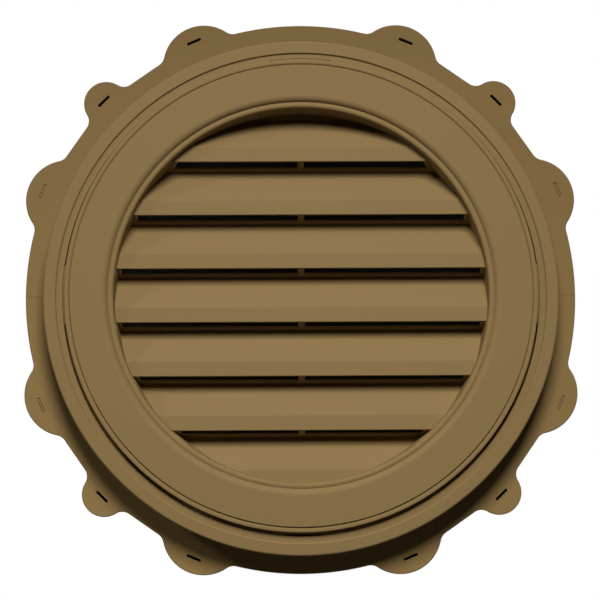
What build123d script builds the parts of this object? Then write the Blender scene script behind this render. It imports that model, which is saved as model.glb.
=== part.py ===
from build123d import *
import os
from math import acos, cos, degrees, hypot, radians, sin, sqrt, tan

# Round gable vent for a sided wall: a moulded louvre body with a nailing flange, a trim ring
# that snaps over it, and an insect screen staked to its back. Millimetres, X right, Z up.
# The wall plane is y = 0 and the vent faces -Y, so a height below is a distance in front of the wall.

# Driving dimensions: moulded walls
wall = 2.2                      # skirt, face, collar and trim ring
blade_wall = 1.8                # louvre panel
flange_thickness = 2.2

# Driving dimensions: nailing flange
flange_width = 48.3             # outside the skirt
ear_step = 22.5                 # degrees between ears
ear_reach = 21.8                # wide ears: how far they stand out of the flange, and their radius
ear_radius = 44.8
corner_ear_reach = 26.0         # narrow ears on the diagonals
corner_ear_radius = 24.0
ear_fillet = 7.0
slot_offset = 5.4               # from the flange's edge out to the circle of the nail slots
slot_length = 16.4
slot_width = 3.2
knockout_groove = 0.8
knockout_skin = 0.8             # thickness left under the groove of a closed slot
mark_width = 0.7                # centre marks across the flange
mark_depth = 0.4

# Driving dimensions: body section
bore_radius = 199.8             # louvre opening
bead_width = 5.2                # bead round the opening
bead_drop = 1.1                 # its top and its groove lie this far behind the face
bead_groove_drop = 3.8
cove_width = 5.2
face_height = 47.5
face_width = 41.3               # from the cove to the outside of the skirt
face_chamfer = 4.6
rim_drop = 1.0                  # the rim lies this far behind the face
rim_bead = 4.4                  # width of the bead round the rim
rim_chamfer = 1.8
rim_groove_depth = 1.7
skirt_draft = 0.5               # degrees

# Driving dimensions: louvres
pitch = 57.65
top_blade_length = 55.9         # from the top of the opening down to the first blade's lowest edge
lip_setback = 15.5              # the lips lie this far behind the face
lip_length = 16.2
lip_lean = 1.0                  # how far the lip leans back at its bend
fold_height = 5.4               # deepest fold of the panel, where a blade meets the shelf below a lip
shelf_fall = 7.7                # drop of the shelf from a lip back to the fold
gap_depth = 18.9                # the air gaps reach this far back from the front of the lip
gap_end_margin = 3.8            # from the ends of the gaps out to the opening's edge
land_width = 7.1                # land left between the two gaps of a shelf

# Driving dimensions: screen seat
seat_width = 9.0
seat_height = 2.0
stake_count = 8
stake_length = 7.0              # stakes are short bars along the seat
stake_width = 3.0
stake_head_lap = 1.4            # the formed head laps over the screen by this much all round
stake_head = 0.9
stake_clearance = 0.2

# Driving dimensions: insect screen
screen_thickness = 0.9
screen_pitch = 56.0
screen_bar = 4.0
screen_margin = 1.0             # seat left bare round the screen
screen_border = 4.0             # least plain border inside the collar

# Driving dimensions: snap racks and trim ring
rack_arc = 14.4                 # degrees covered by each rack
rack_depth = 2.0
rack_setback = 8.5              # from the rim back to the front of the racks
tooth_pitch = 6.0
tooth_depth = 1.4
bore_clearance = 0.9            # round the racks, inside the ring
ring_width = 19.8               # from the ring's bore to its outside
ring_notch = 2                  # tooth that the ring is pushed on to, counted from the front
ring_lip_depth = 7.4            # outer lip, from the siding channel to the front of the band
ring_edge_rounding = 5.0
ring_step_width = 7.0           # ledge inside the band
ring_step_lean = 1.2
ring_step_rise = 2.3
ring_skirt_reach = 11.0         # how far the ring's skirt goes behind its outer lip
pawl_arc = 9.0
pawl_length = 3.0
pawl_clearance = 0.3
pawl_slot = 2.4                 # slot each side of a pawl, which lets it flex
pawl_slot_length = 11.2


def section_plane(angle):
    """Plane through the axis: local x is the radius at that angle, local y the height."""
    turn = radians(angle)
    along, across = (cos(turn), 0, sin(turn)), (sin(turn), 0, -cos(turn))
    return Plane(origin=(0, 0, 0), x_dir=along, z_dir=across)


def ear_swing(centre, radius):
    """Degrees from an ear's middle to where its round edge meets the flange's."""
    return degrees(acos((flange_radius ** 2 + centre ** 2 - radius ** 2) / (2 * flange_radius * centre)))


def eased(start, corner, end):
    """Points that take a square corner off with two flats, where an arc from start to end would run."""
    centre = (start[0] + end[0] - corner[0], start[1] + end[1] - corner[1])
    middle = [c + (k - c) * sqrt(0.5) for c, k in zip(centre, corner)]
    return [start, tuple(middle), end]


# Plane of the blades' side view: local x is the height, local y is Z
side_view = Plane(origin=(0, 0, 0), x_dir=(0, -1, 0), z_dir=(-1, 0, 0))

# Ears stand on every step except the four centre lines. Those beside the horizontal one are closed.
ear_angles = [k * ear_step for k in range(16) if k % 4]
knockout_angles = [a for a in ear_angles if abs(sin(radians(a))) < sin(radians(1.5 * ear_step))]
nail_angles = [a for a in ear_angles if a not in knockout_angles]
rack_angles = [0, 90, 180, 270]
island_length = slot_length - 2 * knockout_groove
island_width = slot_width - 2 * knockout_groove

# Sizes that follow from the driving ones
face_inner_radius = bore_radius + bead_width + cove_width
skirt_radius = face_inner_radius + face_width
rim_height = face_height - rim_drop
bead_height = face_height - bead_drop
bead_groove_height = face_height - bead_groove_drop
skirt_base_radius = skirt_radius + rim_height * tan(radians(skirt_draft))
skirt_inner_radius = skirt_radius - wall
collar_radius = bore_radius + wall
seat_radius = bore_radius + seat_width
screen_radius = seat_radius - screen_margin
stake_circle = bore_radius + seat_width / 2
stake_hole_length = stake_length + 2 * stake_clearance
stake_hole_width = stake_width + 2 * stake_clearance
flange_radius = skirt_base_radius + flange_width
ear_centre = flange_radius + ear_reach - ear_radius
corner_ear_centre = flange_radius + corner_ear_reach - corner_ear_radius
slot_circle = flange_radius + slot_offset
rack_radius = skirt_base_radius + rack_depth
ring_bore_radius = rack_radius + bore_clearance
ring_step_radius = ring_bore_radius + ring_step_width
ring_radius = ring_bore_radius + ring_width

# Front of the body section, as radius and height: rim bead, groove, face, cove and inner bead
rim_groove = (skirt_radius - rim_bead - rim_groove_depth / 2, rim_height - rim_groove_depth)
face_edge = (rim_groove[0] - rim_groove_depth, face_height)
cove_foot = (face_inner_radius - face_chamfer, face_height - face_chamfer)
body_front = [(skirt_base_radius, 0), (skirt_radius, rim_height - rim_chamfer),
              (skirt_radius - rim_chamfer, rim_height), rim_groove, face_edge,
              (face_inner_radius, face_height), cove_foot,
              (bore_radius + bead_width, bead_groove_height), (bore_radius + bead_width / 2, bead_height),
              (bore_radius, bead_groove_height)]

# Back of the body section, from the screen seat out to the foot of the skirt
body_back = [(bore_radius, seat_height), (seat_radius, seat_height), (seat_radius, seat_height + wall),
             (collar_radius, seat_height + wall), (collar_radius, bead_groove_height - 2 * wall),
             (face_inner_radius + wall, face_height - wall), (rim_groove[0] - wall, face_height - wall),
             (skirt_inner_radius, rim_height - 2 * wall), (skirt_base_radius - wall, 0)]

# The flange's edge is straight between a wide ear and the narrow one beside it, and round elsewhere
corner_swing = ear_swing(corner_ear_centre, corner_ear_radius)
side_swing = (ear_step - ear_swing(ear_centre, ear_radius) - corner_swing) / 2
side_reach = flange_radius * cos(radians(side_swing))
side_offset = corner_swing + side_swing
side_angles = [a + side * side_offset for a in ear_angles if a % 90 == 45 for side in (-1, 1)]

# Ratchet teeth, counted from the front of the rack back to the flange
rack_height = rim_height - rack_setback
rack_root_radius = rack_radius - tooth_depth
tooth_count = int((rack_height - flange_thickness) / tooth_pitch)
tooth_heights = [rack_height - k * tooth_pitch for k in range(1, tooth_count + 1)]
rack_line = []
for height in tooth_heights:
    rack_line += [(rack_radius, height), (rack_root_radius, height)]

# The ring's height follows from the tooth behind which its pawls have locked. That leaves a siding channel
# of 31.8 mm, or 1 1/4 in, between the flange and the outer lip.
pawl_height = tooth_heights[ring_notch - 1]
ring_skirt_end = pawl_height - pawl_length
ring_lip_height = ring_skirt_end + ring_skirt_reach
ring_band_height = ring_lip_height + ring_lip_depth
ring_ledge_height = ring_band_height - ring_step_rise

# Section of the trim ring, from the skirt's end over the front to the outer lip and back inside
ring_front = [(ring_bore_radius, ring_skirt_end), (ring_bore_radius, ring_ledge_height),
              (ring_step_radius - ring_step_lean, ring_ledge_height), (ring_step_radius, ring_band_height)]
ring_front += eased((ring_radius - ring_edge_rounding, ring_band_height), (ring_radius, ring_band_height),
                    (ring_radius, ring_band_height - ring_edge_rounding))
ring_back = [(ring_radius, ring_lip_height), (ring_radius - wall, ring_lip_height),
             (ring_radius - wall, ring_band_height - ring_edge_rounding),
             (ring_radius - ring_edge_rounding, ring_band_height - wall),
             (ring_step_radius + wall / 2, ring_band_height - wall),
             (ring_step_radius + wall / 2 - ring_step_lean, ring_ledge_height - wall),
             (ring_bore_radius + wall, ring_ledge_height - wall),
             (ring_bore_radius + wall, ring_skirt_end)]

# Each pawl is the free end of a tongue in the ring's skirt
pawl_tip_radius = rack_root_radius + pawl_clearance
pawl_foot_radius = pawl_tip_radius + pawl_length * tooth_depth / tooth_pitch
tongue_radius = ring_bore_radius + wall / 2
slot_turn = (pawl_arc + degrees(pawl_slot / ring_bore_radius)) / 2

# Squares of the screen's grid, those at the edge trimmed round
grid_reach = bore_radius - screen_border
grid_count = int(grid_reach / screen_pitch) + 1
grid_steps = [(k + 0.5) * screen_pitch for k in range(-grid_count, grid_count)]
grid_centres = [(x, z) for x in grid_steps for z in grid_steps if hypot(x, z) < grid_reach]

# Front line of the louvre panel in side view, from the top blade down past the bottom of the opening
lip_height = face_height - lip_setback
gap_end_radius = bore_radius - gap_end_margin
top_lip_level = bore_radius - top_blade_length
blade_count = int((top_lip_level + bore_radius) / pitch) + 2
lip_levels = [top_lip_level - k * pitch for k in range(blade_count)]
gap_levels = lip_levels[:-1]
gap_fall = shelf_fall * gap_depth / (lip_height - fold_height)
panel_line = [(fold_height, collar_radius + wall), (fold_height, top_lip_level + pitch - shelf_fall)]
for level in lip_levels:
    panel_line += [(lip_height - lip_lean, level + lip_length), (lip_height, level)]
    if level in gap_levels:
        panel_line.append((fold_height, level - shelf_fall))

with BuildPart() as vent_body:
    # Louvre panel: one folded wall, cut round to run into the collar
    with BuildSketch(side_view) as panel_profile:
        with BuildLine():
            Polyline(*panel_line)
            offset(amount=blade_wall, side=Side.RIGHT, kind=Kind.INTERSECTION)
        make_face()
    extrude(amount=collar_radius, both=True)
    with BuildSketch(Plane.XZ) as panel_rim:
        Circle(bore_radius + wall / 2)
    extrude(amount=face_height, mode=Mode.INTERSECT)

    # Two air gaps in each shelf behind the lip, either side of the centre land
    with BuildSketch(Plane.XZ.offset(lip_height - blade_wall)) as gaps:
        with Locations(*[(0, level + (wall - gap_fall) / 2) for level in gap_levels]):
            Rectangle(2 * collar_radius, gap_fall + wall)
        Circle(gap_end_radius, mode=Mode.INTERSECT)
        Rectangle(land_width, 2 * collar_radius, mode=Mode.SUBTRACT)
    extrude(amount=blade_wall - gap_depth, mode=Mode.SUBTRACT)

    # Rim bead, flat face, cove, inner bead and collar: one moulded section, open at the back
    with BuildSketch(section_plane(0)) as moulding:
        with BuildLine():
            Polyline(*body_front, *body_back, close=True)
        make_face()
    revolve(axis=Axis.Y)

    # Nailing flange with its ears
    with BuildSketch(Plane.XZ) as flange:
        with Locations(Rotation(0, 0, ear_step)):
            Circle(flange_radius)
        for angle in side_angles:
            with PolarLocations(side_reach + ear_fillet, 1, start_angle=angle):
                Rectangle(2 * ear_fillet, 2 * ear_radius, mode=Mode.SUBTRACT)
        with PolarLocations(ear_centre, 8, start_angle=ear_step):
            Circle(ear_radius)
        with PolarLocations(corner_ear_centre, 4, start_angle=2 * ear_step):
            Circle(corner_ear_radius)
        on_rim = [v for v in flange.vertices() if abs(Vector(*v).length - flange_radius) < 1]
        fillet(on_rim, radius=ear_fillet)
        Circle(skirt_inner_radius, mode=Mode.SUBTRACT)
        for angle in nail_angles:
            with PolarLocations(slot_circle, 1, start_angle=angle):
                Rectangle(slot_width, slot_length, mode=Mode.SUBTRACT)
    extrude(amount=flange_thickness)

    # Closed slots: a groove round each, to be knocked out when it is needed
    with BuildSketch(Plane.XZ.offset(flange_thickness)) as knockouts:
        for angle in knockout_angles:
            with PolarLocations(slot_circle, 1, start_angle=angle):
                Rectangle(slot_width, slot_length)
                Rectangle(island_width, island_length, mode=Mode.SUBTRACT)
    extrude(amount=knockout_skin - flange_thickness, mode=Mode.SUBTRACT)

    # Centre marks scored across the flange
    with BuildSketch(Plane.XZ.offset(flange_thickness)) as marks:
        with PolarLocations((ring_radius + flange_radius) / 2, 4):
            Rectangle(flange_radius - ring_radius, mark_width)
    extrude(amount=-mark_depth, mode=Mode.SUBTRACT)

    # Racks down the skirt: each tooth slopes towards the front and locks behind
    with BuildSketch(*[section_plane(a + rack_arc / 2) for a in rack_angles]) as racks:
        with BuildLine():
            Polyline((skirt_radius - wall / 2, rack_height), (rack_root_radius, rack_height),
                     *rack_line, (skirt_radius - wall / 2, tooth_heights[-1]), close=True)
        make_face()
    revolve(axis=Axis.Y, revolution_arc=rack_arc)

    # Heat stakes through the screen, with their heads formed over it
    with BuildSketch(Plane.XZ.offset(seat_height)) as stakes:
        with PolarLocations(stake_circle, stake_count):
            Rectangle(stake_width, stake_length)
    extrude(amount=-screen_thickness)
    with BuildSketch(Plane.XZ.offset(seat_height - screen_thickness)) as stake_heads:
        with PolarLocations(stake_circle, stake_count):
            Rectangle(stake_width + 2 * stake_head_lap, stake_length + 2 * stake_head_lap)
    extrude(amount=-stake_head)

vent_body.part.label = "vent_body"

with BuildPart() as trim_ring:
    # Section: skirt, ledge, step, band and eased outer edge, open at the back
    with BuildSketch(section_plane(0)) as ring_section:
        with BuildLine():
            Polyline(*ring_front, *ring_back, close=True)
        make_face()
    revolve(axis=Axis.Y)

    # Slots each side of the four tongues
    with BuildSketch(Plane.XZ.offset(ring_skirt_end)) as pawl_slots:
        for angle in rack_angles:
            for side in (-slot_turn, slot_turn):
                with PolarLocations(tongue_radius, 1, start_angle=angle + side):
                    Rectangle(2 * wall, pawl_slot)
    extrude(amount=pawl_slot_length, mode=Mode.SUBTRACT)

    # Pawls at the tongues' free ends, each behind a tooth of its rack
    with BuildSketch(*[section_plane(a + pawl_arc / 2) for a in rack_angles]) as pawls:
        with BuildLine():
            Polyline((tongue_radius, pawl_height), (pawl_tip_radius, pawl_height),
                     (pawl_foot_radius, ring_skirt_end), (tongue_radius, ring_skirt_end), close=True)
        make_face()
    revolve(axis=Axis.Y, revolution_arc=pawl_arc)

trim_ring.part.label = "trim_ring"

with BuildPart() as insect_screen:
    # Woven screen as a disc with square gaps, holed for the stakes
    with BuildSketch(Plane.XZ.offset(seat_height - screen_thickness)) as screen_disc:
        Circle(screen_radius)
        with PolarLocations(stake_circle, stake_count):
            Rectangle(stake_hole_width, stake_hole_length, mode=Mode.SUBTRACT)
    extrude(amount=screen_thickness)
    with BuildSketch(Plane.XZ.offset(seat_height - screen_thickness)) as mesh_gaps:
        with Locations(*grid_centres):
            Rectangle(screen_pitch - screen_bar, screen_pitch - screen_bar)
        Circle(grid_reach, mode=Mode.INTERSECT)
    extrude(amount=screen_thickness, mode=Mode.SUBTRACT)

insect_screen.part.label = "insect_screen"

os.makedirs("parts", exist_ok=True)
export_step(vent_body.part, "parts/vent_body.step")
export_step(trim_ring.part, "parts/trim_ring.step")
export_step(insect_screen.part, "parts/insect_screen.step")
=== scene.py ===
"""Round gable vent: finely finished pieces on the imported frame, studio light and camera.

The CAD nodes give the frame. Each is replaced by a mesh of the same form with its roundings, and
the screen by crossing strands. The trim ring hangs low in its play on the racks, as it does in
the photograph. Lengths in the size classes are millimetres, a height is a distance in front of
the wall plane y = 0, and an angle turns from +X towards +Z.
"""

from __future__ import annotations

import logging
import math
from dataclasses import dataclass, field
from enum import Enum
from typing import ClassVar, Iterable, Sequence

import bmesh
import bpy
import numpy as np
from mathutils import Matrix, Vector

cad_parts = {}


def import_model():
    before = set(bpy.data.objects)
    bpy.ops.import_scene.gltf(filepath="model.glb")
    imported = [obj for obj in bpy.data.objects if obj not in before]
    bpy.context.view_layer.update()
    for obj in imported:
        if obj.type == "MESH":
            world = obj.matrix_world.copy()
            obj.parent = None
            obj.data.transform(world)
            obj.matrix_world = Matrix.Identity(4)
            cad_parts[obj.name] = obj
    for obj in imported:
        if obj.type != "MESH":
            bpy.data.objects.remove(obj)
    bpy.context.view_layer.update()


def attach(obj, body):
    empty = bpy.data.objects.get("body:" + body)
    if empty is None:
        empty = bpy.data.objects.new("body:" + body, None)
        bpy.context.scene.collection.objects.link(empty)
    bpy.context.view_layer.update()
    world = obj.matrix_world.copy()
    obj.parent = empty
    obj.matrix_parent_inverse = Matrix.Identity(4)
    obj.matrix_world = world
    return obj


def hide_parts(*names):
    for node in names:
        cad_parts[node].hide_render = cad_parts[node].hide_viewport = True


log = logging.getLogger("gable_vent")

MM = 0.001
PAST = 1.0  # how far a cutter runs past the faces that it cuts, in millimetres
SLOPE_BEND = (0.75, 0.2)  # where a sloped edge bends: shares of its width and of its drop

EDGE_STEP = 0.75  # degrees between the points of a large round edge

Point = tuple[float, float]
Corner = tuple[float, float, float]  # a corner point and its rounding radius
Colour = tuple[float, float, float]


# Flat drawing


def arc(centre: Point, radius: float, start: float, turn: float, step: float = 8.0) -> list[Point]:
    """Points along an arc.

    Args:
        centre: Centre of the arc.
        radius: Its radius.
        start: Direction of its first point, in degrees.
        turn: Degrees that it turns, positive anticlockwise.
        step: Largest turn between two points, in degrees.

    Returns:
        The points, both ends included.
    """
    count = max(2, math.ceil(abs(turn) / step) + 1)
    angles = np.radians(np.linspace(start, start + turn, count))
    return [(centre[0] + radius * math.cos(a), centre[1] + radius * math.sin(a)) for a in angles]


def rounded(corners: Sequence[Corner], closed: bool = True, step: float = 12.0) -> list[Point]:
    """Draws a line through corners, each with its own rounding radius.

    Args:
        corners: Corner points with their radii; a radius of 0 leaves a corner sharp.
        closed: Whether the line runs back to its start.
        step: Largest turn between two points of a rounding, in degrees.

    Returns:
        The points of the line.
    """
    places = np.array([corner[:2] for corner in corners])
    radii = np.array([corner[2] for corner in corners], dtype=float)
    if not closed:
        radii[[0, -1]] = 0.0
    side = np.roll(places, -1, axis=0) - places
    length = np.linalg.norm(side, axis=1)
    ahead = side / length[:, None]
    back = -np.roll(ahead, 1, axis=0)
    half = np.arccos(np.clip((ahead * back).sum(axis=1), -1.0, 1.0)) / 2
    radii[half > math.radians(89.5)] = 0.0
    reach = radii / np.tan(half)
    crowding = (reach + np.roll(reach, -1)) / length * 1.001
    radii /= np.maximum(1.0, np.maximum(crowding, np.roll(crowding, 1)))
    points: list[Point] = []
    for here, radius, onward, backward, opening in zip(places, radii, ahead, back, half):
        if radius <= 0:
            points.append((float(here[0]), float(here[1])))
            continue
        middle = (onward + backward) / np.linalg.norm(onward + backward)
        centre = here + middle * radius / math.sin(opening)
        first = here + backward * radius / math.tan(opening) - centre
        second = here + onward * radius / math.tan(opening) - centre
        start = math.degrees(math.atan2(first[1], first[0]))
        turn = (math.degrees(math.atan2(second[1], second[0])) - start + 180) % 360 - 180
        points += arc((float(centre[0]), float(centre[1])), float(radius), start, turn, step)
    return points


def beside(line: Sequence[Point], distance: float) -> list[Point]:
    """Moves an open line sideways, with mitred corners.

    Args:
        line: The points of the line.
        distance: How far it moves, to the left of its run.

    Returns:
        The moved points, as many as before.
    """
    run = np.array(line)
    along = np.diff(run, axis=0)
    along /= np.linalg.norm(along, axis=1)[:, None]
    left = np.stack([-along[:, 1], along[:, 0]], axis=1)
    first = np.vstack([left[:1], left])
    second = np.vstack([left, left[-1:]])
    mitre = first + second
    mitre /= (mitre * first).sum(axis=1)[:, None]
    return [tuple(p) for p in run + distance * mitre]


def inset(loop: np.ndarray, distance: float) -> np.ndarray:
    """Moves each point of a closed loop sideways.

    Args:
        loop: The points, one to a row.
        distance: How far they move, to the left of the loop's run.

    Returns:
        The moved points.
    """
    along = np.roll(loop, -1, axis=0) - np.roll(loop, 1, axis=0)
    along /= np.linalg.norm(along, axis=1)[:, None]
    return loop + distance * np.stack([-along[:, 1], along[:, 0]], axis=1)


def at_angle(radius: float, angle: float) -> Point:
    """The point of the front plane at a radius and an angle in degrees."""
    turn = math.radians(angle)
    return radius * math.cos(turn), radius * math.sin(turn)


# Solids


class Solid:
    """A closed mesh that can be joined with others, cut and dressed as a finished piece."""

    def __init__(self, name: str, points: Iterable[Sequence[float]],
                 faces: Iterable[Sequence[int]]) -> None:
        """Makes the mesh from points in millimetres (X, height, Z) and faces.

        Args:
            name: Name of the object.
            points: Corner points.
            faces: Index lists of the faces.
        """
        mesh = bpy.data.meshes.new(name)
        places = [(x * MM, -height * MM, z * MM) for x, height, z in points]
        mesh.from_pydata(places, [], [tuple(face) for face in faces])
        self.object = bpy.data.objects.new(name, mesh)
        bpy.context.scene.collection.objects.link(self.object)
        self._tidy()

    def _tidy(self) -> None:
        """Merges points that coincide and turns every normal outwards."""
        shape = bmesh.new()
        shape.from_mesh(self.object.data)
        bmesh.ops.remove_doubles(shape, verts=shape.verts, dist=0.5e-6)
        bmesh.ops.recalc_face_normals(shape, faces=shape.faces)
        shape.to_mesh(self.object.data)
        shape.free()

    def _apply(self) -> None:
        """Replaces the mesh by what its modifiers make of it."""
        graph = bpy.context.evaluated_depsgraph_get()
        made = bpy.data.meshes.new_from_object(self.object.evaluated_get(graph), depsgraph=graph)
        old = self.object.data
        self.object.modifiers.clear()
        self.object.data = made
        made.name = self.object.name
        bpy.data.meshes.remove(old)

    def _with(self, others: Sequence[Solid], operation: str) -> Solid:
        """Runs one boolean operation with each of the others, which are used up.

        Args:
            others: The other solids.
            operation: Blender's name of the operation.

        Returns:
            This solid.
        """
        for other in others:
            step = self.object.modifiers.new(operation.lower(), "BOOLEAN")
            step.solver = "MANIFOLD"
            step.operation = operation
            step.object = other.object
        self._apply()
        for other in others:
            spent = other.object.data
            bpy.data.objects.remove(other.object)
            bpy.data.meshes.remove(spent)
        return self

    def join(self, *others: Solid) -> Solid:
        """Adds other solids to this one."""
        return self._with(others, "UNION")

    def cut(self, *others: Solid) -> Solid:
        """Takes other solids out of this one."""
        return self._with(others, "DIFFERENCE")

    def keep(self, other: Solid) -> Solid:
        """Keeps only what lies inside the other solid."""
        return self._with([other], "INTERSECT")

    def moved(self, shift: Point) -> Solid:
        """Moves the mesh in the front plane, by X and Z in millimetres."""
        self.object.data.transform(Matrix.Translation((shift[0] * MM, 0, shift[1] * MM)))
        return self

    def smooth(self, angle: float = 32.0) -> Solid:
        """Shades it smooth, with its large faces flat.

        Args:
            angle: Edge angle in degrees from which an edge stays sharp.

        Returns:
            This solid.
        """
        mesh = self.object.data
        mesh.shade_smooth()
        mesh.set_sharp_from_angle(angle=math.radians(angle))
        weights = self.object.modifiers.new("weights", "WEIGHTED_NORMAL")
        weights.keep_sharp = True
        weights.weight = 60
        self._apply()
        return self


def spin(name: str, section: Sequence[Point], start: float = 0.0, turn: float = 360.0,
         steps: int = 480) -> Solid:
    """Spins a closed section of radius and height about the vent's axis.

    Args:
        name: Name of the solid.
        section: Closed outline.
        start: First angle, in degrees.
        turn: Degrees that it is spun through.
        steps: Number of steps of a full turn.

    Returns:
        The solid, capped at both ends where it isn't a full turn.
    """
    full = turn >= 360.0
    count = steps if full else max(2, math.ceil(steps * turn / 360.0)) + 1
    angles = np.radians(start + np.linspace(0.0, turn, count, endpoint=not full))
    size = len(section)
    points = [(r * math.cos(a), h, r * math.sin(a)) for a in angles for r, h in section]
    faces: list[Sequence[int]] = []
    for k in range(count if full else count - 1):
        here, there = k * size, ((k + 1) % count) * size
        faces += [(here + i, here + (i + 1) % size, there + (i + 1) % size, there + i)
                  for i in range(size)]
    if not full:
        faces += [list(range(size)), list(range((count - 1) * size, count * size))]
    return Solid(name, points, faces)


def prism(name: str, profile: Sequence[Point], half_width: float) -> Solid:
    """Carries a closed profile along X.

    Args:
        name: Name of the solid.
        profile: Closed outline as height and Z.
        half_width: How far it is carried either side of X = 0.

    Returns:
        The solid.
    """
    size = len(profile)
    points = [(x, h, z) for x in (-half_width, half_width) for h, z in profile]
    faces: list[Sequence[int]] = [(i, (i + 1) % size, size + (i + 1) % size, size + i)
                                  for i in range(size)]
    faces += [list(range(size)), list(range(size, 2 * size))]
    return Solid(name, points, faces)


def plate(name: str, outline: Sequence[Point], holes: Sequence[Sequence[Point]], low: float, high: float,
          slope: Point | None = None) -> Solid:
    """Makes a flat plate from an outline in the front plane.

    Args:
        name: Name of the solid.
        outline: Anticlockwise outline as X and Z.
        holes: Anticlockwise outlines of its holes.
        low: Height of its back.
        high: Height of its front.
        slope: Width and drop of the sloped front edge, where it has one.

    Returns:
        The solid.
    """
    loops = [np.array(outline)] + [np.array(hole)[::-1] for hole in holes]
    levels = [(0.0, low), (0.0, high)]
    if slope:
        width, drop = slope
        bend = (SLOPE_BEND[0] * width, high - SLOPE_BEND[1] * drop)
        levels[1:] = [(0.0, high - drop), bend, (width, high)]
    shape = bmesh.new()
    front: list[bmesh.types.BMEdge] = []
    back: list[bmesh.types.BMEdge] = []
    for loop in loops:
        rings = []
        for distance, height in levels:
            moved = inset(loop, distance) if distance else loop
            rings.append([shape.verts.new((x, height, z)) for x, z in moved])
        count = len(loop)
        for lower, upper in zip(rings, rings[1:]):
            for i in range(count):
                j = (i + 1) % count
                shape.faces.new((lower[i], lower[j], upper[j], upper[i]))
        for ring, edges in ((rings[0], back), (rings[-1], front)):
            edges += [shape.edges.get((ring[i], ring[(i + 1) % count])) for i in range(count)]
    for edges in (back, front):
        bmesh.ops.triangle_fill(shape, use_beauty=True, use_dissolve=False, edges=edges)
    shape.verts.index_update()
    points = [tuple(v.co) for v in shape.verts]
    faces = [[v.index for v in face.verts] for face in shape.faces]
    shape.free()
    return Solid(name, points, faces)


def disc(name: str, radius: float, low: float, high: float, steps: int = 480) -> Solid:
    """A round plate about the axis."""
    return plate(name, arc((0, 0), radius, 0, 360 - 360 / steps, 360 / steps), [], low, high)


def bar(centre: Point, length: float, width: float, angle: float, end_radius: float = 0.0) -> list[Point]:
    """Outline of a bar that lies across the radius at an angle.

    Args:
        centre: Its centre in the front plane.
        length: Length across the radius.
        width: Width along the radius.
        angle: Angle of the radius, in degrees.
        end_radius: Rounding of its corners.

    Returns:
        The anticlockwise outline.
    """
    turn = math.radians(angle)
    out = np.array((math.cos(turn), math.sin(turn))) * width / 2
    across = np.array((-math.sin(turn), math.cos(turn))) * length / 2
    places = [-out - across, out - across, out + across, -out + across]
    return rounded([(centre[0] + p[0], centre[1] + p[1], end_radius) for p in places], step=15.0)


# Shader and geometry graphs


class Value:
    """A socket's output with arithmetic, so that a formula reads as one."""

    def __init__(self, graph: Graph, socket: bpy.types.NodeSocket) -> None:
        """Wraps a socket of a graph."""
        self.graph = graph
        self.socket = socket

    def _math(self, operation: str, *operands: Value | float) -> Value:
        """Adds one maths node.

        Args:
            operation: The node's operation.
            operands: Values or numbers for its inputs, in order.

        Returns:
            The node's output.
        """
        node = self.graph.node(self.graph.math_node, {"operation": operation})
        for slot, operand in zip(node.inputs, operands):
            self.graph.feed(slot, operand)
        return Value(self.graph, node.outputs[0])

    def __add__(self, other: Value | float) -> Value:
        """The sum."""
        return self._math("ADD", self, other)

    def __radd__(self, other: float) -> Value:
        """The sum, with a number first."""
        return self._math("ADD", other, self)

    def __sub__(self, other: Value | float) -> Value:
        """The difference."""
        return self._math("SUBTRACT", self, other)

    def __rsub__(self, other: float) -> Value:
        """The difference from a number."""
        return self._math("SUBTRACT", other, self)

    def __mul__(self, other: Value | float) -> Value:
        """The product."""
        return self._math("MULTIPLY", self, other)

    def __rmul__(self, other: float) -> Value:
        """The product, with a number first."""
        return self._math("MULTIPLY", other, self)

    def __truediv__(self, other: Value | float) -> Value:
        """The quotient."""
        return self._math("DIVIDE", self, other)

    def __rtruediv__(self, other: float) -> Value:
        """The quotient of a number by it."""
        return self._math("DIVIDE", other, self)

    def root(self) -> Value:
        """Its square root, zero below zero."""
        return self._math("SQRT", self._math("MAXIMUM", self, 0.0))

    def above(self, level: Value | float) -> Value:
        """One where it is above the level, zero elsewhere."""
        return self._math("GREATER_THAN", self, level)

    def largest(self, other: Value | float) -> Value:
        """The larger of the two."""
        return self._math("MAXIMUM", self, other)


Source = Value | bpy.types.NodeSocket | float | Sequence[float]


class Graph:
    """A node tree that adds nodes by type, settings and inputs."""

    math_node = "ShaderNodeMath"

    def __init__(self, tree: bpy.types.NodeTree) -> None:
        """Takes over a tree and clears it."""
        self.tree = tree
        tree.nodes.clear()

    def feed(self, slot: bpy.types.NodeSocket, source: Source) -> None:
        """Links a socket to a slot, or sets the slot's value.

        Args:
            slot: The input socket.
            source: What feeds it.
        """
        if isinstance(source, Value):
            source = source.socket
        if isinstance(source, bpy.types.NodeSocket):
            self.tree.links.new(source, slot)
        else:
            slot.default_value = source

    def node(self, kind: str, settings: dict[str, object] | None = None,
             **inputs: object) -> bpy.types.Node:
        """Adds a node.

        Args:
            kind: Its type name.
            settings: Properties set on the node itself.
            inputs: Sources for its inputs, by name with _ for a space.

        Returns:
            The node.
        """
        made = self.tree.nodes.new(kind)
        for key, value in (settings or {}).items():
            setattr(made, key, value)
        for key, source in inputs.items():
            self.feed(made.inputs[key.replace("_", " ")], source)
        return made

    def value(self, kind: str, output: str | int, settings: dict[str, object] | None = None,
              **inputs: object) -> Value:
        """Adds a node for one of its outputs, with the rest as in node."""
        return Value(self, self.node(kind, settings, **inputs).outputs[output])


def material(name: str) -> tuple[bpy.types.Material, Graph]:
    """Makes an empty node material.

    Args:
        name: Its name.

    Returns:
        The material and its emptied graph.
    """
    made = bpy.data.materials.new(name)
    made.use_nodes = True
    return made, Graph(made.node_tree)


# Finishes


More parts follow.
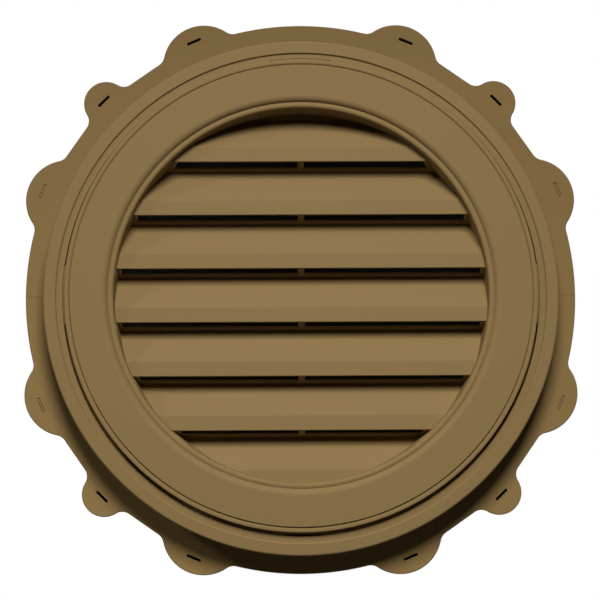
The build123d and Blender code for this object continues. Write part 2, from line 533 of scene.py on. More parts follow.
@dataclass(frozen=True)
class MouldedPlastic:
    """Matte plastic, coloured right through, with the slight unevenness of a moulding.

    The fades are painted light and shade: they darken the colour with each metre upwards and lighten it
    downwards, on the front and more steeply on the flange, to even out the key lamp's fall-off. The
    flange is what lies less than flange_height in front of the wall, in metres, and it also has its own
    level and tint.
    """

    name: str = "moulded_plastic"
    colour: Colour = (0.272, 0.180, 0.072)
    cooler: Colour = (0.262, 0.176, 0.073)
    roughness: float = 0.62
    roughness_spread: float = 0.08
    specular: float = 0.03
    # Painted light and shade: the colour's change per metre upwards, which offsets the key lamp's fall-off
    painted_fade: float = -0.68
    flange_painted_fade: float = -1.26
    flange_level: float = 1.02
    flange_tint: Colour = (1.0, 0.965, 0.9)
    flange_height: float = 0.004
    cloud_scale: float = 7.0
    grain_scale: float = 1400.0
    grain_height: float = 0.00002

    def build(self) -> bpy.types.Material:
        """Makes the material."""
        made, graph = material(self.name)
        place = graph.value("ShaderNodeTexCoord", "Object")
        cloud = graph.value("ShaderNodeTexNoise", "Fac", {"noise_dimensions": "3D"}, Vector=place,
                            Scale=self.cloud_scale, Detail=3.0, Roughness=0.5)
        grain = graph.value("ShaderNodeTexNoise", "Fac", {"noise_dimensions": "3D"}, Vector=place,
                            Scale=self.grain_scale, Detail=2.0, Roughness=0.6)
        mix = graph.node("ShaderNodeMix", {"data_type": "RGBA"})
        graph.feed(mix.inputs["Factor"], cloud)
        graph.feed(mix.inputs[6], (*self.colour, 1.0))
        graph.feed(mix.inputs[7], (*self.cooler, 1.0))
        relief = graph.value("ShaderNodeBump", "Normal", Strength=0.35, Distance=self.grain_height,
                             Height=grain)
        split = graph.node("ShaderNodeSeparateXYZ", None, Vector=place)
        depth, level = Value(graph, split.outputs["Y"]), Value(graph, split.outputs["Z"])
        # Painted light and shade: the colour darkens upwards and lightens downwards, more steeply on the
        # flange
        on_flange = depth.above(-self.flange_height)
        flange_painted_extra = self.flange_level - 1.0 + (self.flange_painted_fade - self.painted_fade) * level
        painted_tone = 1.0 + self.painted_fade * level + on_flange * flange_painted_extra
        tinted = graph.node("ShaderNodeMix", {"data_type": "RGBA", "blend_type": "MULTIPLY"})
        graph.feed(tinted.inputs["Factor"], on_flange)
        graph.feed(tinted.inputs[6], mix.outputs[2])
        graph.feed(tinted.inputs[7], (*self.flange_tint, 1.0))
        painted_toned = graph.node("ShaderNodeVectorMath", {"operation": "SCALE"})
        graph.feed(painted_toned.inputs[0], tinted.outputs[2])
        graph.feed(painted_toned.inputs["Scale"], painted_tone)
        skin = graph.node("ShaderNodeBsdfPrincipled", None, Base_Color=painted_toned.outputs[0],
                          Roughness=self.roughness + self.roughness_spread * (cloud - 0.5), Normal=relief)
        skin.inputs["Specular IOR Level"].default_value = self.specular
        graph.node("ShaderNodeOutputMaterial", None, Surface=skin.outputs[0])
        return made


@dataclass(frozen=True)
class ScreenFibre:
    """Charcoal coating on the strands of the insect screen."""

    name: str = "screen_fibre"
    colour: Colour = (0.004, 0.0036, 0.0034)
    paler: Colour = (0.007, 0.0065, 0.006)
    roughness: float = 0.6
    specular: float = 0.05
    blotch_scale: float = 60.0

    def build(self) -> bpy.types.Material:
        """Makes the material."""
        made, graph = material(self.name)
        place = graph.value("ShaderNodeTexCoord", "Object")
        blotch = graph.value("ShaderNodeTexNoise", "Fac", {"noise_dimensions": "3D"}, Vector=place,
                             Scale=self.blotch_scale, Detail=2.0, Roughness=0.5)
        mix = graph.node("ShaderNodeMix", {"data_type": "RGBA"})
        graph.feed(mix.inputs["Factor"], blotch)
        graph.feed(mix.inputs[6], (*self.colour, 1.0))
        graph.feed(mix.inputs[7], (*self.paler, 1.0))
        skin = graph.node("ShaderNodeBsdfPrincipled", None, Base_Color=mix.outputs[2],
                          Roughness=self.roughness + 0.1 * (blotch - 0.5))
        skin.inputs["Specular IOR Level"].default_value = self.specular
        graph.node("ShaderNodeOutputMaterial", None, Surface=skin.outputs[0])
        return made


@dataclass(frozen=True)
class PaintedShadeBehind:
    """Painted shade: a dark sheet behind the vent's openings in place of the shade there, seen only from
    the front, so that the back stays open to view.
    """

    name: str = "painted_shade_behind"
    colour: Colour = (0.0012, 0.0006, 0.0004)

    def build(self) -> bpy.types.Material:
        """Makes the material."""
        made, graph = material(self.name)
        seen = graph.value("ShaderNodeLightPath", "Is Camera Ray")
        behind = graph.value("ShaderNodeNewGeometry", "Backfacing")
        clear = graph.node("ShaderNodeBsdfTransparent")
        # Painted shade: a black glow for camera rays from the front, in place of the shade behind the
        # openings
        dark = graph.node("ShaderNodeEmission", None, Color=(*self.colour, 1.0), Strength=1.0)
        mix = graph.node("ShaderNodeMixShader")
        graph.feed(mix.inputs[0], seen * (1.0 - behind))
        graph.feed(mix.inputs[1], clear.outputs[0])
        graph.feed(mix.inputs[2], dark.outputs[0])
        graph.node("ShaderNodeOutputMaterial", None, Surface=mix.outputs[0])
        return made


@dataclass(frozen=True)
class PaleFloor:
    """Pale floor that shows white where it is lit and keeps the shadow."""

    name: str = "pale_floor"
    colour: Colour = (0.12, 0.12, 0.12)
    lift: float = 0.92

    def build(self) -> bpy.types.Material:
        """Makes the material."""
        made, graph = material(self.name)
        path = graph.node("ShaderNodeLightPath")
        camera, glossy = (Value(graph, path.outputs[k]) for k in ("Is Camera Ray", "Is Glossy Ray"))
        seen = camera.largest(glossy)
        ground = graph.node("ShaderNodeBsdfDiffuse", None, Color=(*self.colour, 1.0))
        glow = graph.node("ShaderNodeEmission", None, Color=(1.0, 1.0, 1.0, 1.0), Strength=self.lift * seen)
        both = graph.node("ShaderNodeAddShader")
        graph.feed(both.inputs[0], ground.outputs[0])
        graph.feed(both.inputs[1], glow.outputs[0])
        graph.node("ShaderNodeOutputMaterial", None, Surface=both.outputs[0])
        return made


# Sizes


@dataclass(frozen=True)
class FlangeSizes:
    """Nailing flange."""

    thickness: float = 2.2
    radius: float = 300.2
    inner_radius: float = 250.4
    ear_step: float = 22.5
    ear_centre: float = 277.2
    ear_radius: float = 44.8
    corner_ear_centre: float = 302.2
    corner_ear_radius: float = 24.3
    ear_fillet: float = 13.0
    edge_slope: Point = (1.0, 2.0)
    slot_circle: float = 305.6
    slot_length: float = 16.4
    slot_width: float = 3.2
    slot_corner: float = 1.0
    knockout_groove: float = 0.8
    knockout_skin: float = 0.8
    mark_width: float = 0.7
    mark_depth: float = 0.4
    mark_start: float = 274.6


@dataclass(frozen=True)
class BodySizes:
    """Moulded section from the skirt to the collar, and the screen seat."""

    wall: float = 2.2
    skirt_radius: float = 251.5
    skirt_draft: float = 0.5
    rim_height: float = 46.5
    rim_bead: float = 4.4
    rim_rounding: float = 1.3
    groove_depth: float = 1.7
    groove_outer: float = 0.95
    groove_floor: Point = (-0.3, 0.1)
    groove_inner: float = 0.85
    face_height: float = 47.5
    face_inner_radius: float = 212.8
    face_rounding: float = 6.9
    face_turn: float = 69.0
    bore_radius: float = 199.8
    bead_height: float = 43.6
    bead_inner_rounding: float = 3.3
    bead_outer_rounding: float = 5.2
    bead_turn: float = 29.0
    bead_groove_height: float = 42.4
    seat_width: float = 9.0
    seat_height: float = 2.0
    stake_count: int = 8
    stake_length: float = 7.0
    stake_width: float = 3.0
    stake_head_lap: float = 1.4
    stake_head: float = 0.9


@dataclass(frozen=True)
class LouvreSizes:
    """Folded louvre panel."""

    wall: float = 1.8
    count: int = 7
    pitch: float = 57.65
    top_level: float = 143.65
    lip_height: float = 32.0
    lip_length: float = 16.2
    lip_lean: float = 1.0
    fold_height: float = 5.4
    shelf_fall: float = 7.7
    gap_depth: float = 18.9
    gap_end_radius: float = 196.0
    land_width: float = 7.1
    edge_rounding: float = 0.7
    bend_radius: float = 5.0
    fold_radius: float = 0.9

    @property
    def levels(self) -> list[float]:
        """Z of each lip's lower edge, from the top."""
        return [self.top_level - k * self.pitch for k in range(self.count)]

    @property
    def gap_fall(self) -> float:
        """Clear height of the air gaps as seen from the front."""
        return self.shelf_fall * self.gap_depth / (self.lip_height - self.fold_height)


@dataclass(frozen=True)
class RackSizes:
    """Snap racks on the skirt."""

    arc: float = 14.4
    depth: float = 2.0
    height: float = 38.0
    crown: float = 39.4
    pitch: float = 6.0
    tooth: float = 1.4
    angles: tuple[int, ...] = (0, 90, 180, 270)


@dataclass(frozen=True)
class RingSizes:
    """Trim ring, with its sag, which is how far it hangs off centre in its play on the racks."""

    wall: float = 2.2
    radius: float = 274.606
    lip_height: float = 34.0
    band_height: float = 41.4
    edge_rounding: float = 2.2
    step_radius: float = 261.806
    step_lean: float = 1.2
    ledge_height: float = 39.1
    bore_radius: float = 254.0
    skirt_radius: float = 255.8
    notch_arc: float = 14.8
    notch_clearance: float = 0.4
    sag: Point = (0.0, -1.8)
    skirt_end: float = 23.0
    pawl_height: float = 26.0
    pawl_arc: float = 9.0
    pawl_clearance: float = 0.3
    pawl_slot: float = 2.4
    pawl_slot_top: float = 34.2


@dataclass(frozen=True)
class ScreenSizes:
    """Insect screen."""

    radius: float = 207.8
    thickness: float = 0.9
    mesh_pitch: float = 1.6
    strand: float = 0.3
    strand_offset: float = 0.135
    rim_width: float = 5.4
    back_height: float = 1.1


# Pieces


@dataclass
class Piece:
    """A finished piece: it rides on the part's body and stands for one CAD node."""

    node: ClassVar[str]
    slot: ClassVar[str]
    finish: bpy.types.Material

    def shape(self) -> bpy.types.Object:
        """Builds the piece's mesh object."""
        raise NotImplementedError

    def build(self) -> bpy.types.Object:
        """Builds the piece, dresses it and gives it to the frame.

        Returns:
            The finished object.
        """
        made = self.shape()
        made.name = f"{self.node}_finished"
        made.data.materials.clear()
        made.data.materials.append(self.finish)
        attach(made, "root")
        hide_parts(self.node)
        log.info("%s: %d faces", made.name, len(made.data.polygons))
        return made


@dataclass
class VentBody(Piece):
    """Flange, skirt, face, louvre panel, racks and stakes, all one moulding."""

    node: ClassVar[str] = "vent_body"
    slot: ClassVar[str] = "moulded_plastic"
    flange: FlangeSizes = field(default_factory=FlangeSizes)
    body: BodySizes = field(default_factory=BodySizes)
    louvres: LouvreSizes = field(default_factory=LouvreSizes)
    rack: RackSizes = field(default_factory=RackSizes)

    @property
    def skirt_base_radius(self) -> float:
        """Outside of the skirt at the wall."""
        return self.body.skirt_radius + self.body.rim_height * math.tan(math.radians(self.body.skirt_draft))

    @property
    def rack_root_radius(self) -> float:
        """Foot of the teeth of the racks."""
        return self.skirt_base_radius + self.rack.depth - self.rack.tooth

    def moulding(self) -> Solid:
        """The spun section from the skirt over the face to the collar and the screen seat."""
        b = self.body
        groove = b.skirt_radius - b.rim_bead - b.groove_depth / 2
        crest = b.bore_radius + b.bead_inner_rounding
        edge_centre = (b.face_inner_radius, b.face_height - b.face_rounding)
        edge = arc(edge_centre, b.face_rounding, 90, b.face_turn)
        bead_centre = (crest, b.bead_height - b.bead_outer_rounding)
        bead = arc(bead_centre, b.bead_outer_rounding, 90 - b.bead_turn, b.bead_turn)
        seat = b.bore_radius + b.seat_width
        collar = b.bore_radius + b.wall
        section: list[Corner] = [
            (self.skirt_base_radius, 0, 0),
            (b.skirt_radius, b.rim_height, b.rim_rounding),
            (groove + b.groove_outer, b.rim_height, 2.0),
            (groove + b.groove_floor[1], b.rim_height - b.groove_depth, 0.2),
            (groove + b.groove_floor[0], b.rim_height - b.groove_depth, 0.2),
            (groove - b.groove_inner, b.face_height, 0.6),
            *[(radius, height, 0.0) for radius, height in edge],
            (bead[0][0] + 0.1, b.bead_groove_height, 0.1),
            *[(radius, height, 0.0) for radius, height in bead],
            (b.bore_radius, b.bead_height, b.bead_inner_rounding - 0.1),
            (b.bore_radius, b.seat_height, 0.3),
            (seat, b.seat_height, 0.3),
            (seat, b.seat_height + b.wall, 0.3),
            (collar, b.seat_height + b.wall, 0.6),
            (collar, b.bead_groove_height - 2 * b.wall, 1.5),
            (b.face_inner_radius + b.wall, b.face_height - b.wall, 2.5),
            (groove - b.wall, b.face_height - b.wall, 0.8),
            (b.skirt_radius - b.wall, b.rim_height - 2 * b.wall, 0.8),
            (self.skirt_base_radius - b.wall, 0, 0),
        ]
        return spin("moulding", rounded(section))

    def panel(self) -> Solid:
        """The folded wall of blades, with two air gaps behind each lip but the lowest."""
        v = self.louvres
        reach = self.body.bore_radius + self.body.wall / 2
        top_fold = v.top_level + v.pitch - v.shelf_fall
        line: list[Point] = [(v.fold_height, reach + 4 * PAST), (v.fold_height, top_fold)]
        front = [0.0, v.fold_radius]
        back = [0.0, v.fold_radius]
        for level in v.levels:
            line += [(v.lip_height - v.lip_lean, level + v.lip_length), (v.lip_height, level)]
            front += [v.bend_radius, v.edge_rounding]
            back += [v.bend_radius - v.wall, 0.5]
            if level != v.levels[-1]:
                line.append((v.fold_height, level - v.shelf_fall))
                front.append(v.fold_radius)
                back.append(1.2)
        line.append((v.lip_height, v.levels[-1] - PAST))
        front.append(0.0)
        back.append(0.0)
        behind = beside(line, -v.wall)
        near = rounded([(h, z, r) for (h, z), r in zip(line, front)], closed=False)
        far = rounded([(h, z, r) for (h, z), r in zip(behind, back)], closed=False)
        wall = prism("panel", near + far[::-1], reach + 2 * PAST)
        wall.keep(disc("panel_rim", reach, 0, self.body.face_height))
        depth = (v.lip_height - v.gap_depth, v.lip_height - v.wall)
        gaps = []
        for level in v.levels[:-1]:
            top, bottom = level + self.body.wall, level - v.gap_fall
            for side in (1, -1):
                gaps.append(plate("gap", self._gap_outline(top, bottom, side), [], *depth))
        return wall.cut(*gaps)

    def _gap_outline(self, top: float, bottom: float, side: int) -> list[Point]:
        """Outline of one air gap, its outer end round about the axis.

        Args:
            top: Z of its upper edge.
            bottom: Z of its lower edge.
            side: 1 for the right gap, -1 for the left one.

        Returns:
            The anticlockwise outline.
        """
        inner = self.louvres.land_width / 2
        levels = np.linspace(bottom, top, 9)
        ends = [(math.sqrt(self.louvres.gap_end_radius**2 - z**2), float(z)) for z in levels]
        outline = [(inner, bottom), *ends, (inner, top)]
        if side < 0:
            outline = [(-x, z) for x, z in outline][::-1]
        return outline

    def _ear_outline(self) -> list[Point]:
        """Outline of the flange with an ear on every step but the four centre lines.

        It is round across the centre lines and straight between the ears of a quarter.
        """
        f = self.flange
        points: list[Point] = []
        edge = 0.0
        for k in (k for k in range(1, 16) if k % 4):
            angle = k * f.ear_step
            wide = k % 2 == 1
            centre = f.ear_centre if wide else f.corner_ear_centre
            radius = f.ear_radius if wide else f.corner_ear_radius
            reach, grown = f.radius + f.ear_fillet, radius + f.ear_fillet
            swing = math.degrees(math.acos((reach**2 + centre**2 - grown**2) / (2 * reach * centre)))
            ear = at_angle(centre, angle)
            before, after = at_angle(reach, angle - swing), at_angle(reach, angle + swing)
            lead = math.degrees(math.atan2(before[1] - ear[1], before[0] - ear[0]))
            trail = math.degrees(math.atan2(after[1] - ear[1], after[0] - ear[0]))
            round_ear = (trail - lead) % 360
            into = (lead - angle + swing + 180) % 360 - 180
            if k % 4 == 1:
                points += arc((0, 0), f.radius, edge, angle - swing - edge, EDGE_STEP)[:-1]
            points += arc(before, f.ear_fillet, angle - swing + 180, into, step=6)[:-1]
            points += arc(ear, radius, lead, round_ear, step=2.5)[:-1]
            points += arc(after, f.ear_fillet, trail + 180, into, step=6)[:-1]
            edge = angle + swing
        points += arc((0, 0), f.radius, edge, 360 - edge, EDGE_STEP)[:-1]
        return points

    def nailing_flange(self) -> Solid:
        """The flat flange with its open slots, closed slots and centre marks."""
        f = self.flange
        angles = [k * f.ear_step for k in range(16) if k % 4]
        lowest_open = math.sin(math.radians(1.5 * f.ear_step))
        closed = [a for a in angles if abs(math.sin(math.radians(a))) < lowest_open]
        bore = arc((0, 0), f.inner_radius, 0, 360 - EDGE_STEP, EDGE_STEP)
        slots = [bar(at_angle(f.slot_circle, a), f.slot_length, f.slot_width, a, f.slot_corner)
                 for a in angles if a not in closed]
        made = plate("flange", self._ear_outline(), [bore], 0, f.thickness, f.edge_slope)
        cutters = [plate("slot", slot, [], -PAST, f.thickness + PAST) for slot in slots]
        for angle in closed:
            place = at_angle(f.slot_circle, angle)
            outer = bar(place, f.slot_length, f.slot_width, angle, f.slot_corner)
            length, width = (size - 2 * f.knockout_groove for size in (f.slot_length, f.slot_width))
            inner = bar(place, length, width, angle, 0.5)
            cutters.append(plate("knockout", outer, [inner], f.knockout_skin, f.thickness + PAST))
        for angle in self.rack.angles:
            middle = at_angle((f.mark_start + f.radius) / 2 + PAST, angle)
            mark = bar(middle, f.mark_width, f.radius - f.mark_start + 2 * PAST, angle)
            cutters.append(plate("mark", mark, [], f.thickness - f.mark_depth, f.thickness + PAST))
        return made.cut(*cutters)

    def racks(self) -> list[Solid]:
        """Four toothed racks down the skirt."""
        r = self.rack
        outer = self.skirt_base_radius + r.depth
        inside = self.body.skirt_radius - self.body.wall / 2
        count = int((r.height - self.flange.thickness) / r.pitch)
        section: list[Corner] = [(inside, r.crown, 0), (outer, r.crown, 0.4), (outer, r.height, 0.2),
                                 (outer - r.tooth, r.height, 0.1)]
        for k in range(1, count + 1):
            level = r.height - k * r.pitch
            section += [(outer, level, 0.25), (outer - r.tooth, level, 0.1)]
        section.append((inside, r.height - count * r.pitch, 0))
        return [spin("rack", rounded(section, step=30), a - r.arc / 2, r.arc) for a in r.angles]

    def stakes(self) -> list[Solid]:
        """Formed heads of the stakes that hold the screen on its seat."""
        b = self.body
        made = []
        for k in range(b.stake_count):
            angle = k * 360 / b.stake_count
            place = at_angle(b.bore_radius + b.seat_width / 2, angle)
            low = b.seat_height - 2 * b.stake_head
            post = bar(place, b.stake_length, b.stake_width, angle, 0.4)
            length, width = (size + 2 * b.stake_head_lap for size in (b.stake_length, b.stake_width))
            head = bar(place, length, width, angle, 1.2)
            made.append(plate("stake", post, [], low + b.stake_head / 2, b.seat_height + b.wall / 2))
            made.append(plate("stake_head", head, [], low, low + b.stake_head))
        return made

    def shape(self) -> bpy.types.Object:
        """Joins everything into the one moulding."""
        made = self.moulding()
        made.join(self.panel(), self.nailing_flange(), *self.racks(), *self.stakes())
        return made.smooth().object


@dataclass
class TrimRing(Piece):
    """The ring that snaps over the racks."""

    node: ClassVar[str] = "trim_ring"
    slot: ClassVar[str] = "moulded_plastic"
    rack_root_radius: float
    ring: RingSizes = field(default_factory=RingSizes)
    rack: RackSizes = field(default_factory=RackSizes)

    def shape(self) -> bpy.types.Object:
        """Spins the ring, cuts the slots beside its tongues and adds the pawls."""
        r = self.ring
        step = r.step_radius + r.wall / 2
        skirt = r.skirt_radius
        section: list[Corner] = [
            (skirt, r.skirt_end, 0.3),
            (skirt, r.ledge_height - r.wall, 0),
            (r.bore_radius, r.ledge_height - r.wall, 0.3),
            (r.bore_radius, r.ledge_height, 0.8),
            (r.step_radius - r.step_lean, r.ledge_height, 0.5),
            (r.step_radius, r.band_height, 0.5),
            (r.radius, r.band_height, r.edge_rounding),
            (r.radius, r.lip_height, 0.4),
            (r.radius - r.wall, r.lip_height, 0.4),
            (r.radius - r.wall, r.band_height - r.wall, r.edge_rounding - r.wall),
            (step, r.band_height - r.wall, 0.4),
            (step - r.step_lean, r.ledge_height - r.wall, 0.4),
            (skirt + r.wall, r.ledge_height - r.wall, 0.5),
            (skirt + r.wall, r.skirt_end, 0.3),
        ]
        made = spin("ring", rounded(section)).moved(r.sag)
        low, high = r.ledge_height - 2 * r.wall, r.ledge_height + PAST
        inside = self.rack_root_radius - 4 * PAST
        outside = self.rack_root_radius + self.rack.tooth + r.notch_clearance
        notch = [(inside, low), (outside, low), (outside, high), (inside, high)]
        made.cut(*[spin("notch", notch, a - r.notch_arc / 2, r.notch_arc) for a in self.rack.angles])
        middle = skirt + r.wall / 2
        swing = r.pawl_arc / 2 + math.degrees(r.pawl_slot / skirt) / 2
        slots = [bar(at_angle(middle, a), r.pawl_slot, 4 * r.wall, a)
                 for angle in self.rack.angles for a in (angle - swing, angle + swing)]
        made.cut(*[plate("slot", slot, [], r.skirt_end - PAST, r.pawl_slot_top) for slot in slots])
        tip = self.rack_root_radius + r.pawl_clearance
        foot = tip + (r.pawl_height - r.skirt_end) * self.rack.tooth / self.rack.pitch
        pawls = []
        for angle in self.rack.angles:
            tongue = middle + float(np.dot(r.sag, at_angle(1, angle)))
            pawl = [(tongue, r.pawl_height), (tip, r.pawl_height), (foot, r.skirt_end),
                    (tongue, r.skirt_end)]
            pawls.append(spin("pawl", pawl, angle - r.pawl_arc / 2, r.pawl_arc))
        made.join(*pawls)
        return made.smooth().object


class Lay(Enum):
    """Direction of a layer of strands and the side of the screen that it lies on."""

    ACROSS = (0.0, 1)
    UPRIGHT = (90.0, -1)


@dataclass
class InsectScreen(Piece):
    """Two layers of crossing strands, trimmed round."""

    node: ClassVar[str] = "insect_screen"
    slot: ClassVar[str] = "screen_fibre"
    screen: ScreenSizes = field(default_factory=ScreenSizes)

    def _lattice(self) -> bpy.types.NodeTree:
        """Geometry nodes that lay one layer of strands over a round area."""
        tree = bpy.data.node_groups.new("strand_layer", "GeometryNodeTree")
        face = tree.interface
        face.new_socket("Geometry", in_out="INPUT", socket_type="NodeSocketGeometry")
        for name, value in (("Radius", 0.2), ("Pitch", 0.0015), ("Strand", 0.0003)):
            made = face.new_socket(name, in_out="INPUT", socket_type="NodeSocketFloat")
            made.default_value = value
        face.new_socket("Material", in_out="INPUT", socket_type="NodeSocketMaterial")
        face.new_socket("Geometry", in_out="OUTPUT", socket_type="NodeSocketGeometry")
        graph = Graph(tree)
        given = graph.node("NodeGroupInput")
        radius, pitch, strand = (Value(graph, given.outputs[k]) for k in ("Radius", "Pitch", "Strand"))
        count = (2.0 * radius) / pitch
        line = graph.node("GeometryNodeMeshLine", {"mode": "OFFSET"})
        graph.feed(line.inputs["Count"], count)
        start = graph.value("ShaderNodeCombineXYZ", 0, None, Z=pitch * 0.5 - radius)
        offset = graph.value("ShaderNodeCombineXYZ", 0, None, Z=pitch)
        graph.feed(line.inputs["Start Location"], start)
        graph.feed(line.inputs["Offset"], offset)
        place = graph.value("GeometryNodeInputPosition", 0)
        split = graph.node("ShaderNodeSeparateXYZ", None, Vector=place)
        level = Value(graph, split.outputs["Z"])
        half = (radius * radius - level * level).root()
        cube = graph.node("GeometryNodeMeshCube", None, Size=(2.0, 1.0, 1.0))
        size = graph.value("ShaderNodeCombineXYZ", 0, None, X=half, Y=strand, Z=strand)
        strands = graph.node("GeometryNodeInstanceOnPoints", None, Points=line.outputs[0],
                             Instance=cube.outputs[0], Scale=size)
        real = graph.node("GeometryNodeRealizeInstances", None, Geometry=strands.outputs[0])
        dressed = graph.node("GeometryNodeSetMaterial", None, Geometry=real.outputs[0],
                             Material=given.outputs["Material"])
        graph.node("NodeGroupOutput", None, Geometry=dressed.outputs[0])
        return tree

    def _layer(self, tree: bpy.types.NodeTree, lay: Lay) -> bpy.types.Mesh:
        """Makes one layer as a plain mesh in its place.

        Args:
            tree: The geometry nodes of a layer.
            lay: Its direction and side.

        Returns:
            The mesh.
        """
        turn, side = lay.value
        carrier = bpy.data.objects.new("layer", bpy.data.meshes.new("layer"))
        bpy.context.scene.collection.objects.link(carrier)
        step = carrier.modifiers.new("strands", "NODES")
        step.node_group = tree
        sockets = [item for item in tree.interface.items_tree if item.in_out == "INPUT"]
        names = {item.name: item.identifier for item in sockets}
        step[names["Radius"]] = self.screen.radius * MM
        step[names["Pitch"]] = self.screen.mesh_pitch * MM
        step[names["Strand"]] = self.screen.strand * MM
        step[names["Material"]] = self.finish
        graph = bpy.context.evaluated_depsgraph_get()
        mesh = bpy.data.meshes.new_from_object(carrier.evaluated_get(graph), depsgraph=graph)
        middle = self.screen.back_height + self.screen.thickness / 2
        shift = Vector((0, -(middle + side * self.screen.strand_offset) * MM, 0))
        mesh.transform(Matrix.Translation(shift) @ Matrix.Rotation(math.radians(turn), 4, "Y"))
        bpy.data.objects.remove(carrier)
        return mesh

    def shape(self) -> bpy.types.Object:
        """Lays both layers and binds them with a pressed rim."""
        tree = self._lattice()
        s = self.screen
        inside, front = s.radius - s.rim_width, s.back_height + s.thickness
        rim = spin("rim", [(inside, s.back_height), (s.radius, s.back_height),
                           (s.radius, front), (inside, front)])
        shape = bmesh.new()
        shape.from_mesh(rim.object.data)
        for lay in Lay:
            mesh = self._layer(tree, lay)
            shape.from_mesh(mesh)
            bpy.data.meshes.remove(mesh)
        shape.to_mesh(rim.object.data)
        shape.free()
        return rim.object


# Studio


@dataclass(frozen=True)
class Lamp:
    """One soft lamp aimed at the vent."""

    name: str
    place: tuple[float, float, float]
    size: float
    power: float
    colour: Colour = (1.0, 1.0, 1.0)

    def build(self, target: Vector) -> None:
        """Hangs the lamp.

        Args:
            target: The point that it is turned to.
        """
        data = bpy.data.lights.new(self.name, "AREA")
        data.shape = "DISK"
        data.size = self.size
        data.energy = self.power
        data.color = self.colour
        made = bpy.data.objects.new(self.name, data)
        bpy.context.scene.collection.objects.link(made)
        made.location = self.place
        made.rotation_euler = (target - Vector(self.place)).to_track_quat("-Z", "Y").to_euler()


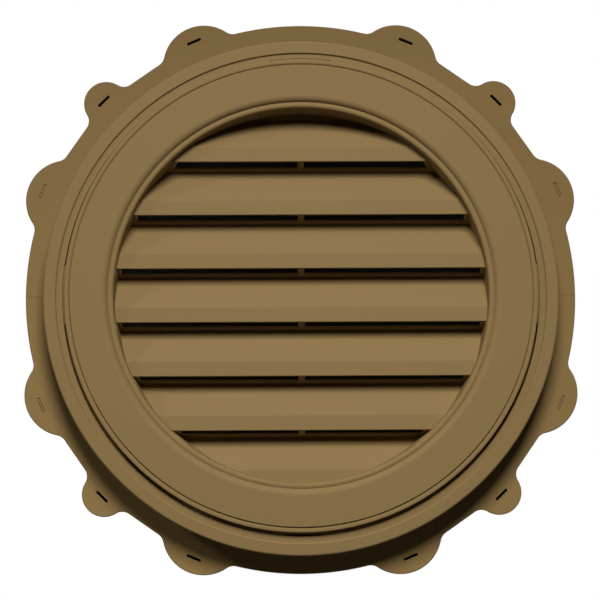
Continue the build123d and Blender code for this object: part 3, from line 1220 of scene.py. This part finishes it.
@dataclass(frozen=True)
class Studio:
    """Floor, a dark sheet of painted shade behind the openings, lamps and the white background."""

    floor_level: float = -0.8
    floor_size: float = 30.0
    floor_back: float = 1.4
    ambient: float = 0.002
    ambient_colour: Colour = (1.0, 0.7, 0.3)
    painted_shade_depth: float = 0.0002
    lamps: tuple[Lamp, ...] = (
        Lamp("key", (0.04, -1.4, 0.92), 0.68, 26.9),
        Lamp("side", (-1.9, -1.25, 1.15), 0.3, 7.8),
        Lamp("back", (1.1, 1.7, 0.35), 0.6, 16.0),
    )

    def build(self, flange: FlangeSizes, body: BodySizes) -> None:
        """Sets the stage round the vent.

        Args:
            flange: Sizes of the flange, for the painted shade behind its slots.
            body: Sizes of the body, for the painted shade behind the louvres.
        """
        self._floor()
        self._shade_patches(flange, body)
        self._world()
        for lamp in self.lamps:
            lamp.build(Vector((0, 0, 0)))

    def _sheet(self, name: str, points: Sequence[Sequence[float]], faces: Sequence[Sequence[int]],
               finish: bpy.types.Material) -> None:
        """Adds one flat stage object.

        Args:
            name: Its name.
            points: Corner points in metres.
            faces: Index lists of its faces.
            finish: Its material.
        """
        mesh = bpy.data.meshes.new(name)
        mesh.from_pydata([tuple(p) for p in points], [], [tuple(f) for f in faces])
        mesh.materials.append(finish)
        made = bpy.data.objects.new(name, mesh)
        bpy.context.scene.collection.objects.link(made)

    def _floor(self) -> None:
        """A plain pale floor well below the vent, which hangs free near the floor's back edge."""
        half, back, level = self.floor_size / 2, self.floor_back, self.floor_level
        front = back - self.floor_size
        corners = [(-half, front, level), (half, front, level), (half, back, level), (-half, back, level)]
        self._sheet("floor", corners, [(0, 1, 2, 3)], PaleFloor().build())

    def _shade_patches(self, flange: FlangeSizes, body: BodySizes) -> None:
        """Painted shade: dark patches behind the louvre opening and the slots, in place of the shade there.

        Args:
            flange: Sizes of the flange.
            body: Sizes of the body.
        """
        outlines = [arc((0, 0), body.bore_radius + body.seat_width, 0, 355, 5)]
        for k in (k for k in range(16) if k % 4):
            angle = k * flange.ear_step
            place = at_angle(flange.slot_circle, angle)
            length, width = flange.slot_length + 2 * PAST, flange.slot_width + 2 * PAST
            outlines.append(bar(place, length, width, angle))
        points: list[Sequence[float]] = []
        faces: list[list[int]] = []
        for outline in outlines:
            faces.append(list(range(len(points), len(points) + len(outline))))
            points += [(x * MM, self.painted_shade_depth, z * MM) for x, z in outline]
        # Painted shade: seen from the front as black, in place of the shade behind the openings
        self._sheet("painted_shade_sheet", points, faces, PaintedShadeBehind().build())

    def _world(self) -> None:
        """White to the camera and to reflections, dim to the surfaces that it lights."""
        world = bpy.data.worlds.new("studio")
        bpy.context.scene.world = world
        world.use_nodes = True
        graph = Graph(world.node_tree)
        path = graph.node("ShaderNodeLightPath")
        kinds = ("Is Camera Ray", "Is Transmission Ray", "Is Glossy Ray")
        camera, through, glossy = (Value(graph, path.outputs[kind]) for kind in kinds)
        seen = camera.largest(through).largest(glossy)
        tint = graph.node("ShaderNodeMix", {"data_type": "RGBA"})
        graph.feed(tint.inputs["Factor"], seen)
        graph.feed(tint.inputs[6], (*self.ambient_colour, 1.0))
        graph.feed(tint.inputs[7], (1.0, 1.0, 1.0, 1.0))
        sky = graph.node("ShaderNodeBackground", None, Color=tint.outputs[2],
                         Strength=seen * (1.0 - self.ambient) + self.ambient)
        graph.node("ShaderNodeOutputWorld", None, Surface=sky.outputs[0])


@dataclass(frozen=True)
class Viewpoint:
    """The photograph's camera, from its distance and direction to the point that it aims at."""

    distance: float = 1.516
    azimuth: float = -0.6
    elevation: float = -4.0
    aim: tuple[float, float, float] = (-0.00115, 0.0, -0.0039)
    roll: float = -0.27
    lens: float = 83.214
    sensor: float = 36.0

    def build(self) -> None:
        """Places the camera and makes it the scene's."""
        side, rise = math.radians(self.azimuth), math.radians(self.elevation)
        back = Vector((math.sin(side) * math.cos(rise), -math.cos(side) * math.cos(rise), math.sin(rise)))
        place = back * self.distance
        ahead = (Vector(self.aim) - place).normalized()
        right = ahead.cross(Vector((0, 0, 1))).normalized()
        up = right.cross(ahead)
        turn = math.radians(self.roll)
        across = right * math.cos(turn) + up * math.sin(turn)
        up = up * math.cos(turn) - right * math.sin(turn)
        frame = Matrix((across, up, -ahead)).transposed().to_4x4()
        data = bpy.data.cameras.new("camera")
        data.lens = self.lens
        data.sensor_width = self.sensor
        made = bpy.data.objects.new("camera", data)
        bpy.context.scene.collection.objects.link(made)
        made.matrix_world = Matrix.Translation(place) @ frame
        bpy.context.scene.camera = made


def main() -> None:
    """Loads the frame, builds the pieces and sets the studio."""
    logging.basicConfig(level=logging.INFO)
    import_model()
    bpy.context.scene.view_settings.view_transform = "Standard"
    plastic = MouldedPlastic().build()
    body = VentBody(plastic)
    body.build()
    TrimRing(plastic, body.rack_root_radius).build()
    InsectScreen(ScreenFibre().build()).build()
    Studio().build(body.flange, body.body)
    Viewpoint().build()


if __name__ == "__main__":
    main()
